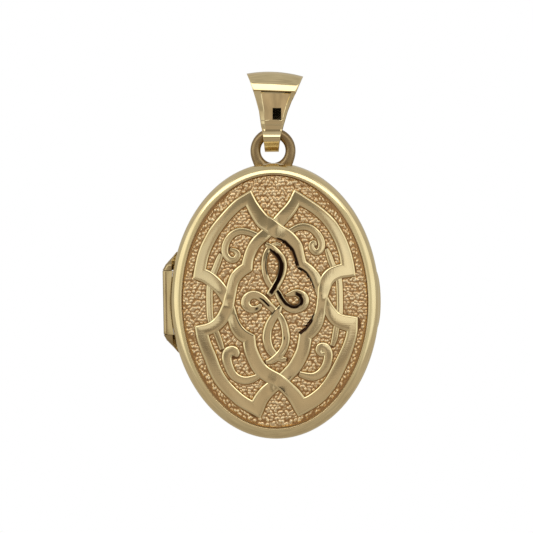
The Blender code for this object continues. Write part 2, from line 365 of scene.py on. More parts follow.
DARK_REFLECTION_COLOUR = (0.020, 0.009, 0.006, 1.0)
POLISH_MARKS = metal_surface_group()
BRIGHT_GOLD = (0.87, 0.75, 0.47)
BRIGHT_GOLD_DEEP = (0.84, 0.70, 0.42)
RIM_GOLD = gold("rim gold", BRIGHT_GOLD, BRIGHT_GOLD_DEEP, 0.07, 0.08, 0.25, 0.3)
# Strap gold carries the painted dark reflections along the knot's inner sides.
STRAP_GOLD = gold("strap gold", BRIGHT_GOLD, BRIGHT_GOLD_DEEP, 0.06, 0.06, 0.3, 0.6, paints_dark_reflection=True)
BAIL_GOLD = gold("bail gold", BRIGHT_GOLD, BRIGHT_GOLD_DEEP, 0.015, 0.035, 0.04, 0.03)
# Pebbled gold: its ramp paints shade, the pit colour and deep in the hollows and beside the straps and rim;
# the tops carry the gold's own colour, lifted brighter than the other gold as a painted highlight.
GROUND_GOLD = gold("pebbled gold", (0.98, 0.82, 0.56), (0.52, 0.31, 0.14), 0.16, 0.12, 0.3, 0.3,
                   pit_shade=(0.22, 0.12, 0.05))
# Ring gold: the same gold darkened well below the rest, as painted shade on the ring.
LOOP_GOLD = gold("ring gold", (0.40, 0.30, 0.17), (0.30, 0.21, 0.11), 0.26, 0.14, 0.6, 1.0, bump=0.00001)
# Hinge gold: the same gold darkened below the rest, as painted shade on the hinge.
HINGE_GOLD = gold("hinge gold", (0.56, 0.45, 0.26), (0.44, 0.34, 0.18), 0.16, 0.12, 0.5, 0.5)
INSIDE_GOLD = gold("inside gold", (0.79, 0.63, 0.37), (0.74, 0.57, 0.32), 0.16, 0.12, 0.6, 0.3)
WINDOW = clear_plastic()
CARD = card_paper()


# ---------------------------------------------------------------- struck panel


def cell_noise(shape, seed):
    """Random numbers in 0..1 for every cell of a pebble grid."""
    return np.random.default_rng(seed).random(shape)


def pebbles(x, z):
    """Height 0..1 of the pebbled ground and its tone, a painted shade: dark in the hollows, beside the straps
    and the rim, pale on the tops.

    The plane is cut into offset cells, each holding one tilted ellipsoid with its own place, length and
    height; a point takes the highest ellipsoid of the nine cells round it.  Beside the straps the cells
    follow the outline instead, with the ellipsoids pointing inwards.
    """
    field = cell_field(x, z, 0.32, 0.27, (0.13, 0.20), (0.095, 0.13), 11)
    ratio = np.hypot(x / HALF_WIDTH, z / HALF_HEIGHT)
    slope = np.hypot(x / HALF_WIDTH ** 2, z / HALF_HEIGHT ** 2) / np.maximum(ratio, 1e-6)
    inset = (1.0 - ratio) / np.maximum(slope, 1e-6)
    angle = np.arctan2(x / HALF_WIDTH, z / HALF_HEIGHT)
    turn = np.linspace(-math.pi, math.pi, 721)
    ring_x, ring_z = oval(turn, 1.4)
    along = np.r_[0.0, np.cumsum(np.hypot(np.diff(ring_x), np.diff(ring_z)))]
    strip = cell_field(inset, np.interp(angle, turn, along), 0.34, 0.31, (0.13, 0.18), (0.10, 0.13), 5)
    beside = np.clip((np.abs(z) - 2.0) / 0.5, 0.0, 1.0)
    beside *= np.clip((10.3 + 0.06 * (-z) - np.abs(z)) / 0.5, 0.0, 1.0)
    beside *= np.clip((1.78 - inset) / 0.12, 0.0, 1.0)
    height = field * (1.0 - beside) + np.minimum(strip * 1.35, 1.0) * beside
    smooth_edge = 1.04 + 0.14 * beside
    gap = strap_gap(x, z)
    height *= np.clip((inset - smooth_edge) / 0.10, 0.0, 1.0) * np.clip((gap - 0.02) / 0.10, 0.0, 1.0)
    # Painted shade: the tone falls in the hollows, beside the straps and next to the rim.
    tone = (0.22 + 0.78 * height) * np.clip((inset - 1.0) / 0.05, 0.0, 1.0) * np.clip(gap / 0.10, 0.0, 1.0)
    return height, tone


def strap_gap(x, z):
    """Distance from each point to the nearest strap's side, 0 under a strap."""
    legs = [*STRAP_ONE, *STRAP_TWO, *SCROLLS.values(), *BARS.values(), *MIDDLE.values()]
    gap = np.full(x.shape, 9.0)
    for leg in legs:
        path = smooth_path(leg, 0.2)
        apart = np.hypot(x[..., None] - path[:, 0], z[..., None] - path[:, 1]) - path[:, 2]
        gap = np.minimum(gap, apart.min(axis=-1))
    return np.maximum(gap, 0.0)


def cell_field(x, z, width, tall, lengths, breadths, seed):
    """Highest tilted ellipsoid at each point: sqrt(1 - q) with q the squared distance in its own axes."""
    shape = (512, 512)
    noise = [cell_noise(shape, seed + k) for k in range(6)]
    row = np.floor(z / tall).astype(int)
    best = np.zeros_like(x)
    for dz in (-1, 0, 1):
        r = row + dz
        stagger = 0.5 * (r % 2)
        column = np.floor(x / width - stagger).astype(int)
        for dx in (-1, 0, 1):
            c = column + dx
            pick = (r % shape[0], c % shape[1])
            at_x = (c + 0.5 + stagger + (noise[0][pick] - 0.5) * 0.6) * width
            at_z = (r + 0.5 + (noise[1][pick] - 0.5) * 0.6) * tall
            tilt = (noise[2][pick] - 0.5) * 2.4
            length = lengths[0] + (lengths[1] - lengths[0]) * noise[3][pick]
            breadth = breadths[0] + (breadths[1] - breadths[0]) * noise[4][pick]
            u = (x - at_x) * np.cos(tilt) + (z - at_z) * np.sin(tilt)
            v = (z - at_z) * np.cos(tilt) - (x - at_x) * np.sin(tilt)
            q = (u / length) ** 2 + (v / breadth) ** 2
            bump = np.sqrt(np.maximum(1.0 - q, 0.0)) * (0.45 + 0.55 * noise[5][pick])
            best = np.maximum(best, bump)
    return best


def make_ground():
    """Pebbled ground of the panel: a square grid stretched to the oval, domed, with pebbles on it."""
    rows, columns = GROUND_ROWS, GROUND_COLUMNS
    u = np.linspace(-1.0, 1.0, columns)[None, :]
    v = np.linspace(-1.0, 1.0, rows)[:, None]
    disc_x = u * np.sqrt(1.0 - v ** 2 / 2.0)
    disc_z = v * np.sqrt(1.0 - u ** 2 / 2.0)
    radius = np.hypot(disc_x, disc_z)
    edge = oval(np.arctan2(disc_x, disc_z), PANEL_INSET)
    x = edge[0] * radius
    z = edge[1] * radius
    height, tone = pebbles(x, z)
    y = dome(x, z) - PEBBLE_RELIEF * height
    y = np.where(radius > 0.9985, PANEL_EDGE_Y + 0.10, y)
    points = np.stack([x, y, z], -1)
    mesh = bpy.data.meshes.new("panel_ground")
    faces = grid_faces(rows, columns, False, False)
    mesh.from_pydata(row_frame(points.reshape(-1, 3)).tolist(), [], faces.tolist())
    # The tone goes on as a point attribute: painted shade for the ground's colour ramp.
    layer = mesh.attributes.new("pebble", "FLOAT", "POINT")
    layer.data.foreach_set("value", tone.reshape(-1).astype(np.float32))
    return add_object("panel_ground", mesh, GROUND_GOLD, 180.0)


# Half of the strap section from the middle out: share of the flat, share of the bevel, height in reliefs
# and fall in bevel widths.
HALF_SECTION = np.array((
    (0.30, 0.0, 0.998, 0.0), (0.60, 0.0, 0.99, 0.0), (0.85, 0.0, 0.98, 0.0), (1.0, 0.0, 0.97, 0.0),
    (1.0, 0.08, 0.97, 0.02), (1.0, 0.18, 0.97, 0.06), (1.0, 0.86, 0.97, 0.37), (1.0, 0.96, 0.97, 0.46),
    (1.0, 1.0, 0.60, 0.46), (1.0, 1.0, -0.30, 0.0)))
STRAP_SECTION = np.vstack([HALF_SECTION[::-1] * (-1.0, -1.0, 1.0, 1.0), ((0.0, 0.0, 1.0, 0.0),),
                           HALF_SECTION])
SECTION_ACROSS = 0.8 * STRAP_SECTION[:, 0] + 0.2 * STRAP_SECTION[:, 1]
BEVEL = 0.14
STRAP_STEP = 0.08
CROSSING_REACH = 0.62


def unit(vector):
    """The vector at length one."""
    return vector / np.hypot(*vector)


def leg_ends(leg):
    """Directions in which a leg's path leaves its first and reaches its last point."""
    path = smooth_path(leg, STRAP_STEP)
    return unit((path[1] - path[0])[:2]), unit((path[-1] - path[-2])[:2])


def mitre(into, out_of, half_in, half_out):
    """Normal of the plane on which two legs of different width meet: square to h2 d1 - h1 d2."""
    along = half_out * into - half_in * out_of
    normal = unit(np.array((-along[1], along[0])))
    return normal if normal @ (into + out_of) > 0.0 else -normal


def strap_rows(leg, start, end, crossings, relief):
    """Rows of section points along one leg of a strap, and how far each row lies along it.

    The section stands square to the path.  At a mitre (corner point, plane normal) the leg runs on
    straight and every point past the plane slides back along the path to it.
    """
    path = smooth_path(leg, STRAP_STEP)
    for cut, first in ((start, True), (end, False)):
        if cut is None:
            continue
        tip, before = (path[0], path[1]) if first else (path[-1], path[-2])
        step = unit((tip - before)[:2]) * tip[2] * 2.4 * np.linspace(0.15, 1.0, 6)[:, None]
        extra = np.column_stack([tip[:2] + step, np.full(6, tip[2])])
        path = np.vstack([extra[::-1], path]) if first else np.vstack([path, extra])
    tangent = np.gradient(path[:, :2], axis=0)
    tangent /= np.hypot(*tangent.T)[:, None]
    across = np.stack([-tangent[:, 1], tangent[:, 0]], 1)
    half = path[:, 2:3]
    bevel = np.minimum(BEVEL, 0.34 * half)
    offset = STRAP_SECTION[None, :, 0] * (half - bevel) + STRAP_SECTION[None, :, 1] * bevel
    plan = path[:, None, :2] + across[:, None, :] * offset[..., None]
    for cut, sign in ((start, 1.0), (end, -1.0)):
        if cut is None:
            continue
        corner, normal = cut
        beyond = np.minimum(sign * ((plan - corner) @ normal), 0.0)
        along = sign * (tangent @ normal)
        plan = plan - tangent[:, None, :] * (beyond / along[:, None])[..., None]
    lift = np.zeros(len(path))
    for x, z, amount in crossings:
        near = np.exp(-((path[:, 0] - x) ** 2 + (path[:, 1] - z) ** 2) / (2.0 * CROSSING_REACH ** 2))
        lift += amount * near
    x = plan[..., 0]
    z = plan[..., 1]
    rise = relief * STRAP_SECTION[None, :, 2] - bevel * STRAP_SECTION[None, :, 3]
    y = dome(x, z) - rise - lift[:, None]
    return np.stack([x, y, z], -1), np.linspace(0.0, 1.0, len(path))


def painted_dark_reflection(share, lines):
    """Strength 0..1 of the painted dark reflection along a leg.

    Each line is ((share along, low, high), ...) with low and high across the strap; between them the
    strength is one, with soft sides.
    """
    across = SECTION_ACROSS[None, :]
    dark = np.zeros((len(share), STRAP_SECTION.shape[0]))
    for line in lines:
        at, low, high = np.asarray(line, float).T
        low = np.interp(share, at, low)[:, None]
        high = np.interp(share, at, high)[:, None]
        band = np.clip((across - low) / 0.07 + 0.5, 0.0, 1.0)
        band = band * np.clip((high - across) / 0.07 + 0.5, 0.0, 1.0)
        ends = np.clip((share - at[0]) / 0.015, 0.0, 1.0) * np.clip((at[-1] - share) / 0.015, 0.0, 1.0)
        dark = np.maximum(dark, band * ends[:, None])
    return dark


def make_strap(name, legs, crossings=(), closed=False, relief=RELIEF, dark_reflection_lines=None):
    """Raised strap of one or more legs that meet in mitred corners, closed round or with cut ends."""
    legs = [np.asarray(leg, float) for leg in legs]
    ends = [leg_ends(leg) for leg in legs]
    count = len(legs)
    rows, darks = [], []
    for k, leg in enumerate(legs):
        start = end = None
        before, after = (k - 1) % count, (k + 1) % count
        if closed or k > 0:
            start = (leg[0, :2], mitre(ends[before][1], ends[k][0], legs[before][-1, 2], leg[0, 2]))
        if closed or k < count - 1:
            end = (leg[-1, :2], mitre(ends[k][1], ends[after][0], leg[-1, 2], legs[after][0, 2]))
        points, share = strap_rows(leg, start, end, crossings, relief)
        rows.append(points)
        # Strength of the painted dark reflection at each point of the leg.
        darks.append(painted_dark_reflection(share, (dark_reflection_lines or {}).get(k, ())))
    return add_surface(name, np.concatenate(rows), STRAP_GOLD, wrap_rows=closed, caps=not closed, crease=50.0,
                       value=np.concatenate(darks))


# The outer knot is two closed straps.  Each has six legs that meet in mitred corners: x, z and half width.
STRAP_ONE = (
    ((2.39, 3.23, 0.44), (2.16, 4.08, 0.47), (1.97, 4.73, 0.53), (1.58, 5.25, 0.59), (1.11, 5.72, 0.60),
     (0.70, 5.96, 0.61), (0.17, 6.26, 0.66), (-0.36, 6.67, 0.68), (-0.86, 6.99, 0.66),
     (-1.36, 7.63, 0.60), (-1.82, 8.40, 0.53), (-2.13, 9.03, 0.51)),
    ((-2.13, 9.03, 0.51), (-3.09, 8.47, 0.48), (-4.09, 7.50, 0.46), (-5.00, 6.38, 0.48),
     (-5.47, 5.62, 0.48), (-5.92, 4.73, 0.49), (-6.21, 3.90, 0.49), (-6.42, 2.97, 0.50),
     (-6.50, 2.53, 0.50)),
    ((-6.50, 2.53, 0.59), (-5.96, 2.33, 0.60), (-5.45, 1.98, 0.59), (-4.95, 1.50, 0.56),
     (-4.53, 0.97, 0.52), (-4.16, 0.25, 0.48), (-3.86, -0.64, 0.44), (-3.61, -1.56, 0.46),
     (-3.32, -2.25, 0.52), (-2.84, -2.81, 0.55), (-2.27, -3.15, 0.54)),
    ((-2.27, -3.15, 0.55), (-2.20, -3.92, 0.57), (-1.96, -4.67, 0.59), (-1.55, -5.52, 0.61),
     (-1.10, -6.04, 0.62), (-0.53, -6.42, 0.63), (0.07, -6.74, 0.61), (0.57, -7.13, 0.60),
     (1.06, -7.61, 0.61), (1.57, -8.16, 0.63), (2.18, -9.14, 0.70)),
    ((2.18, -9.14, 0.66), (3.05, -8.70, 0.62), (3.70, -8.25, 0.60), (4.25, -7.72, 0.58),
     (4.71, -7.12, 0.57), (5.18, -6.34, 0.56), (5.76, -5.20, 0.54), (6.18, -4.27, 0.50),
     (6.49, -3.43, 0.47), (6.65, -2.73, 0.47), (6.68, -2.03, 0.47)),
    ((6.68, -2.03, 0.72), (5.90, -1.83, 0.66), (5.30, -1.53, 0.60), (4.81, -0.93, 0.51),
     (4.42, -0.22, 0.45), (4.08, 0.56, 0.43), (3.84, 1.30, 0.43), (3.55, 2.10, 0.44), (3.12, 2.67, 0.42),
     (2.77, 2.98, 0.42), (2.39, 3.23, 0.44)),
)
STRAP_TWO = (
    ((-2.37, 3.04, 0.50), (-2.25, 3.68, 0.46), (-1.99, 4.41, 0.47), (-1.67, 4.99, 0.48),
     (-1.25, 5.47, 0.50), (-0.77, 5.87, 0.51), (-0.21, 6.36, 0.53), (0.39, 6.89, 0.56),
     (0.93, 7.46, 0.57), (1.43, 8.00, 0.55), (1.82, 8.55, 0.52), (2.07, 9.01, 0.54)),
    ((2.07, 9.01, 0.50), (3.03, 8.42, 0.45), (3.68, 7.97, 0.44), (4.33, 7.41, 0.46), (4.95, 6.71, 0.49),
     (5.42, 5.94, 0.50), (5.82, 5.12, 0.51), (6.16, 4.10, 0.53), (6.32, 3.24, 0.57), (6.38, 2.69, 0.60)),
    ((6.38, 2.69, 0.65), (5.65, 2.57, 0.63), (5.00, 2.30, 0.64), (4.53, 1.77, 0.60), (4.28, 1.06, 0.53),
     (4.16, 0.46, 0.46), (4.09, 0.06, 0.44), (4.02, -0.43, 0.43), (3.93, -0.93, 0.45),
     (3.79, -1.43, 0.50), (3.55, -1.98, 0.54), (3.15, -2.52, 0.55), (2.58, -3.02, 0.52)),
    ((2.58, -3.02, 0.55), (2.53, -3.52, 0.58), (2.30, -4.42, 0.58), (1.69, -5.56, 0.58),
     (1.08, -6.24, 0.56), (0.47, -6.79, 0.54), (-0.03, -7.16, 0.55), (-0.43, -7.44, 0.57),
     (-0.99, -7.97, 0.60), (-1.41, -8.54, 0.62), (-1.78, -9.32, 0.66)),
    ((-1.78, -9.32, 0.53), (-2.98, -8.61, 0.53), (-3.74, -7.95, 0.52), (-4.39, -7.28, 0.53),
     (-4.93, -6.54, 0.55), (-5.34, -5.71, 0.55), (-5.68, -4.74, 0.55), (-6.06, -3.78, 0.55),
     (-6.31, -2.95, 0.55), (-6.40, -2.39, 0.55)),
    ((-6.40, -2.39, 0.52), (-5.88, -2.28, 0.52), (-5.26, -2.00, 0.52), (-4.58, -1.36, 0.54),
     (-4.12, -0.45, 0.53), (-3.98, 0.05, 0.50), (-3.82, 0.75, 0.48), (-3.68, 1.35, 0.47),
     (-3.51, 1.89, 0.48), (-3.27, 2.32, 0.50), (-2.89, 2.70, 0.50), (-2.37, 3.04, 0.50)),
)
SCROLLS = {
    "scroll_upper_left": (
        (-1.35, 5.74, 0.24), (-2.10, 6.06, 0.27), (-2.89, 6.19, 0.30), (-3.54, 5.94, 0.30),
        (-3.99, 5.42, 0.30), (-4.24, 4.77, 0.30), (-4.20, 4.17, 0.28), (-3.83, 3.75, 0.28),
        (-3.37, 3.75, 0.27), (-3.13, 4.11, 0.25), (-3.31, 4.45, 0.22), (-3.79, 4.64, 0.12)),
    "scroll_upper_right": (
        (1.38, 6.10, 0.24), (2.07, 6.43, 0.28), (2.67, 6.51, 0.30), (3.26, 6.32, 0.30),
        (3.76, 5.87, 0.30), (4.08, 5.30, 0.30), (4.14, 4.81, 0.29), (3.98, 4.39, 0.28),
        (3.62, 4.27, 0.27), (3.33, 4.51, 0.26), (3.25, 4.93, 0.23), (3.48, 5.13, 0.18),
        (3.62, 4.85, 0.12)),
    "scroll_lower_left": (
        (-1.45, -6.37, 0.22), (-2.00, -6.64, 0.31), (-2.65, -6.77, 0.35), (-3.29, -6.61, 0.36),
        (-3.79, -6.18, 0.36), (-4.09, -5.53, 0.38), (-4.25, -4.88, 0.42), (-4.11, -4.35, 0.46),
        (-3.74, -4.19, 0.47), (-3.49, -4.43, 0.40), (-3.55, -4.65, 0.24)),
    "scroll_lower_right": (
        (2.03, -6.26, 0.22), (2.67, -6.47, 0.31), (3.27, -6.53, 0.36), (3.87, -6.26, 0.38),
        (4.31, -5.72, 0.38), (4.54, -5.02, 0.38), (4.53, -4.40, 0.38), (4.26, -3.98, 0.38),
        (3.91, -3.96, 0.34), (3.75, -4.28, 0.28), (3.97, -4.58, 0.22), (4.26, -4.54, 0.14)),
}
BARS = {
    "bar_left": (
        (-4.58, 4.22, 0.18), (-4.78, 3.75, 0.25), (-5.08, 3.01, 0.27), (-5.48, 2.03, 0.27),
        (-5.64, 1.14, 0.27), (-5.64, -1.05, 0.27), (-5.43, -1.95, 0.27), (-5.08, -2.69, 0.26),
        (-4.85, -3.34, 0.25), (-4.63, -4.04, 0.20)),
    "bar_right": (
        (4.55, 4.53, 0.14), (4.75, 3.98, 0.24), (5.00, 3.24, 0.26), (5.45, 2.25, 0.27),
        (5.62, 1.35, 0.27), (5.62, -0.84, 0.27), (5.47, -1.73, 0.27), (5.27, -2.53, 0.26),
        (5.14, -3.22, 0.25), (4.92, -3.87, 0.18)),
}
MIDDLE = {
    "crossing_upper": (
        (-0.70, 5.05, 0.16), (-0.27, 4.77, 0.28), (0.21, 4.33, 0.31), (0.59, 3.84, 0.33),
        (0.74, 3.29, 0.35), (0.69, 2.65, 0.35), (0.47, 2.00, 0.34), (0.09, 1.35, 0.33),
        (-0.30, 0.84, 0.30), (-0.52, 0.61, 0.22)),
    "curl_right": (
        (0.61, 4.91, 0.10), (0.19, 5.01, 0.17), (-0.31, 4.75, 0.22), (-0.68, 4.23, 0.22),
        (-0.85, 3.54, 0.22), (-0.87, 2.94, 0.22), (-0.75, 2.30, 0.23), (-0.52, 1.70, 0.24),
        (-0.13, 1.21, 0.26), (0.27, 0.78, 0.29), (0.54, 0.26, 0.31), (0.89, -0.23, 0.33),
        (1.38, -0.58, 0.34), (1.93, -0.61, 0.36), (2.43, -0.31, 0.40), (2.55, 0.18, 0.42),
        (2.30, 0.61, 0.38), (1.83, 0.79, 0.30), (1.33, 0.66, 0.20), (0.97, 0.56, 0.10)),
    "crossing_lower": (
        (0.51, -0.35, 0.16), (0.29, -0.73, 0.28), (-0.06, -1.23, 0.33), (-0.40, -1.78, 0.36),
        (-0.65, -2.43, 0.37), (-0.73, -3.07, 0.38), (-0.65, -3.67, 0.37), (-0.41, -4.22, 0.35),
        (0.01, -4.67, 0.32), (0.47, -4.94, 0.27), (0.91, -5.01, 0.16)),
    "curl_left": (
        (-0.85, -5.20, 0.14), (-0.41, -5.12, 0.26), (0.04, -4.85, 0.31), (0.49, -4.40, 0.33),
        (0.79, -3.84, 0.33), (0.92, -3.22, 0.33), (0.90, -2.62, 0.32), (0.77, -1.98, 0.29),
        (0.51, -1.38, 0.27), (0.15, -0.93, 0.27), (-0.25, -0.51, 0.29), (-0.66, -0.08, 0.31),
        (-1.10, 0.36, 0.33), (-1.58, 0.64, 0.35), (-2.09, 0.62, 0.37), (-2.47, 0.26, 0.39),
        (-2.51, -0.22, 0.38), (-2.14, -0.56, 0.34), (-1.68, -0.58, 0.28), (-1.32, -0.36, 0.20),
        (-1.26, -0.14, 0.10)),
}

# Painted dark reflections along the inner sides of the knot: leg number to lines of (share along, low, high).
DARK_REFLECTION_ONE = {0: (((0.0, 0.66, 1.05), (0.08, 0.50, 1.05), (0.30, 0.52, 1.05), (0.48, 0.86, 1.05)),),
            2: (((0.62, 0.80, 0.86), (0.80, 0.74, 0.86), (0.98, 0.74, 0.86)),),
            5: (((0.62, 0.95, 1.05), (0.80, 0.82, 1.05), (1.0, 0.72, 1.05)),)}
DARK_REFLECTION_TWO = {2: (((0.66, -1.05, -0.95), (0.78, -1.05, -0.76), (0.90, -1.05, -0.66), (0.97, -1.05, -0.80)),)}
DARK_REFLECTION_MIDDLE = {
    "crossing_upper": (((0.09, -1.0, -0.50), (0.25, -1.0, 0.05), (0.45, -1.0, 0.30), (0.62, -1.0, 0.35),
                        (0.80, -0.90, 0.45), (0.97, -0.70, 0.80)),),
    "curl_right": (((0.13, 0.45, 0.95), (0.25, 0.62, 0.98), (0.34, 0.55, 0.98)),
                   ((0.43, -0.20, 0.80), (0.55, -0.25, 0.95), (0.65, 0.05, 1.0), (0.75, 0.25, 1.0),
                    (0.85, 0.05, 1.0), (0.93, -0.40, 0.80))),
    "crossing_lower": (((0.02, -0.9, 0.3), (0.06, -0.9, -0.2)), ((0.08, -1.0, -0.75), (0.20, -1.0, -0.72))),
    "curl_left": (((0.25, 0.30, 0.75), (0.29, 0.35, 0.75)),
                  ((0.56, -0.05, 0.5), (0.62, -0.10, 0.55), (0.68, 0.10, 0.60)),
                  ((0.93, -0.5, 0.3), (0.97, -0.5, 0.4))),
}


def make_panel():
    """Struck panel: ground, outer knot of two straps, scrolls, bars and the middle knot."""
    over, under = 0.07, -0.09
    ends = ((-0.05, 6.45), (0.28, -6.93))
    sides = ((-3.99, -0.20), (4.12, 0.40))
    made = [make_ground()]
    made.append(make_strap("knot_strap_one", STRAP_ONE, [(*spot, over) for spot in ends]
                           + [(*spot, under) for spot in sides], closed=True, dark_reflection_lines=DARK_REFLECTION_ONE))
    made.append(make_strap("knot_strap_two", STRAP_TWO, [(*spot, under) for spot in ends]
                           + [(*spot, over) for spot in sides], closed=True, dark_reflection_lines=DARK_REFLECTION_TWO))
    for name, leg in SCROLLS.items():
        made.append(make_strap(name, [leg], relief=RELIEF * 0.84))
    for name, leg in BARS.items():
        made.append(make_strap(name, [leg], relief=RELIEF * 0.70))
    lifts = {"crossing_upper": ((-0.03, 1.17, over), (-0.35, 4.80, over)),
             "curl_right": ((-0.03, 1.17, under), (-0.35, 4.80, under)),
             "crossing_lower": ((0.15, -1.0, over), (-0.05, -4.75, under)),
             "curl_left": ((0.15, -1.0, under), (-0.05, -4.75, over))}
    for name, leg in MIDDLE.items():
        made.append(make_strap("middle_" + name, [leg], lifts[name], relief=RELIEF * 0.90,
                               dark_reflection_lines={0: DARK_REFLECTION_MIDDLE[name]}))
    made.append(make_stud())
    return made


def make_stud():
    """Small round stud in the middle of the knot: a quarter sine turned about its axis."""
    rise = np.linspace(0.0, math.pi / 2.0, 9)[:, None]
    turn = np.linspace(0.0, 2.0 * math.pi, 20, endpoint=False)[None, :]
    radius = 0.17 * np.cos(rise) + 0.004
    x = -0.12 + radius * np.cos(turn)
    z = 0.0 + radius * np.sin(turn)
    y = dome(x, z) + 0.02 - 0.17 * np.sin(rise)
    return add_surface("middle_stud", np.stack([x, y, z], -1), STRAP_GOLD, caps=True)


# ---------------------------------------------------------------- covers and inside


def smooth_profile(points, step):
    """Section curve through (inset, y) points."""
    return smooth_path(np.asarray(points, float), step)


def make_front_cover():
    """Front shell: side wall, round rim, recess wall and floor outside, plain shell inside."""
    rim = smooth_profile((
        (0.0, -1.12), (0.03, -1.47), (0.10, -1.71), (0.20, -1.90), (0.33, -2.045), (0.50, -2.155),
        (0.67, -2.232), (0.80, -2.277), (0.86, -2.292), (0.92, CREST_Y), (0.95, -2.28), (0.965, -2.22),
        (0.975, -2.10), (0.98, -1.93)), 0.03)
    wall = np.array(((0.02, FRONT_SEAM), (0.0, FRONT_SEAM - 0.02), (0.0, -0.75)))
    recess = np.array(((0.98, -1.90), (1.4, -1.90), (6.0, -1.90)))
    inside = np.array(((6.0, -1.62), (0.64, -1.62), (0.52, -1.56), (0.43, -1.44), (0.38, -1.28),
                       (0.38, -0.75), (0.38, FRONT_SEAM - 0.02), (0.36, FRONT_SEAM)))
    profile = np.vstack([recess[::-1], rim[::-1], wall[::-1], inside[::-1]])
    points = round_oval(profile, 480, groove=True)
    return add_surface("front_shell", points, RIM_GOLD, caps=True)


def make_back_cover():
    """Back shell: side wall with a narrow parting line, soft shoulder and flat back, hollow inside."""
    shoulder = smooth_profile((
        (0.0, 0.80), (0.02, 1.08), (0.09, 1.42), (0.24, 1.76), (0.52, 2.05), (0.95, 2.23),
        (1.50, BACK_Y)), 0.04)
    wall = np.array(((0.02, BACK_SEAM), (0.0, BACK_SEAM + 0.02), (0.0, 0.1)))
    middle = np.array(((1.65, BACK_Y), (3.0, BACK_Y), (6.0, BACK_Y)))
    inside = np.array(((6.0, 1.95), (1.10, 1.92), (0.74, 1.72), (0.48, 1.35), (0.38, 0.95), (0.38, 0.1),
                       (0.38, BACK_SEAM + 0.02), (0.36, BACK_SEAM)))
    profile = np.vstack([middle[::-1], shoulder[::-1], wall[::-1], inside[::-1]])
    points = round_oval(profile, 480, groove=True)
    return add_surface("back_shell", points, RIM_GOLD, caps=True)


def rounded_section(points, radius):
    """Closed section with each corner replaced by four points of a quadratic curve radius from it."""
    points = np.asarray(points, float)
    before = np.roll(points, 1, axis=0) - points
    after = np.roll(points, -1, axis=0) - points
    rounded = []
    for corner, a, b in zip(points, before, after):
        cut = min(radius, np.hypot(*a) * 0.45, np.hypot(*b) * 0.45)
        start = corner + unit(a) * cut
        end = corner + unit(b) * cut
        for u in (0.0, 1.0 / 3.0, 2.0 / 3.0, 1.0):
            rounded.append((1 - u) ** 2 * start + 2 * u * (1 - u) * corner + u ** 2 * end)
    return np.array(rounded)


RINGS = {
    "back_snap_band": ((0.45, -1.15), (0.45, -0.50), (0.41, -0.48), (0.41, 0.35), (1.70, 0.35), (1.70, 0.18),
                       (0.78, 0.18), (0.78, -1.15)),
    "back_photo_frame": ((0.81, -0.42), (0.81, 0.15), (1.01, 0.15), (1.01, -0.24), (1.60, -0.24),
                         (1.60, -0.34), (1.52, -0.42)),
    "front_inner_band": ((0.45, -1.20), (0.45, -1.36), (0.62, -1.36), (0.70, -1.59), (0.95, -1.59),
                         (0.95, -1.36), (1.70, -1.36), (1.70, -1.20)),
    "front_photo_frame": ((1.08, -0.68), (0.99, -0.76), (0.91, -0.95), (0.84, -1.17), (1.06, -1.17),
                          (1.06, -0.85), (1.60, -0.85), (1.60, -0.75), (1.52, -0.68)),
}
SHEETS = {
    "back_photo_window": (1.04, -0.21, -0.03, "window"),
    "back_photo_card": (1.04, 0.0, 0.15, "card"),
    "front_photo_window": (1.09, -1.02, -0.88, "window"),
    "front_photo_card": (1.09, -1.17, -1.05, "card"),
}


def make_inside():
    """Bands and frames as rounded sections, windows and cards as flat sheets; returns name to object."""
    made = {}
    for name, section in RINGS.items():
        points = round_oval(rounded_section(section, 0.05), 360)
        made[name] = add_surface(name + "_ring", points, INSIDE_GOLD, wrap_rows=True)
    for name, (inset, low, high, kind) in SHEETS.items():
        profile = np.array(((6.0, low), (inset + 0.02, low), (inset, low + 0.02), (inset, high - 0.02),
                            (inset + 0.02, high), (6.0, high)))
        finish = WINDOW if kind == "window" else CARD
        made[name] = add_surface(name + "_sheet", round_oval(profile, 240), finish, caps=True)
    return made


# ---------------------------------------------------------------- hinge


def make_knuckle():
    """Middle knuckle: a round bar with a flat front and a bevel on its free side, softly broken ends."""
    turn = np.radians(np.linspace(180.0, 0.0, 31))
    round_back = np.stack([np.cos(turn), np.sin(turn)], 1) * KNUCKLE_RADIUS
    front = ((0.41, -0.08), (0.37, -0.22), (0.25, -0.36), (-0.20, -0.36), (-0.36, -0.245), (-0.41, -0.10))
    section = np.vstack([round_back, rounded_section(front, 0.03)])
    z = np.array((-1.0, -0.997, -0.988, -0.97, -0.90, -0.5, 0.0, 0.5, 0.90, 0.97, 0.988, 0.997, 1.0))[:, None]
    end = np.array((0.86, 0.93, 0.98, 1.0, 1.0, 1.0, 1.0, 1.0, 1.0, 1.0, 0.98, 0.93, 0.86))[:, None]
    x = HINGE_X + section[None, :, 0] * end
    y = HINGE_Y + section[None, :, 1] * end
    points = np.stack(np.broadcast_arrays(x, y, z * KNUCKLE_HALF), -1)
    return add_surface("hinge_barrel", points, HINGE_GOLD, caps=True, crease=30.0)


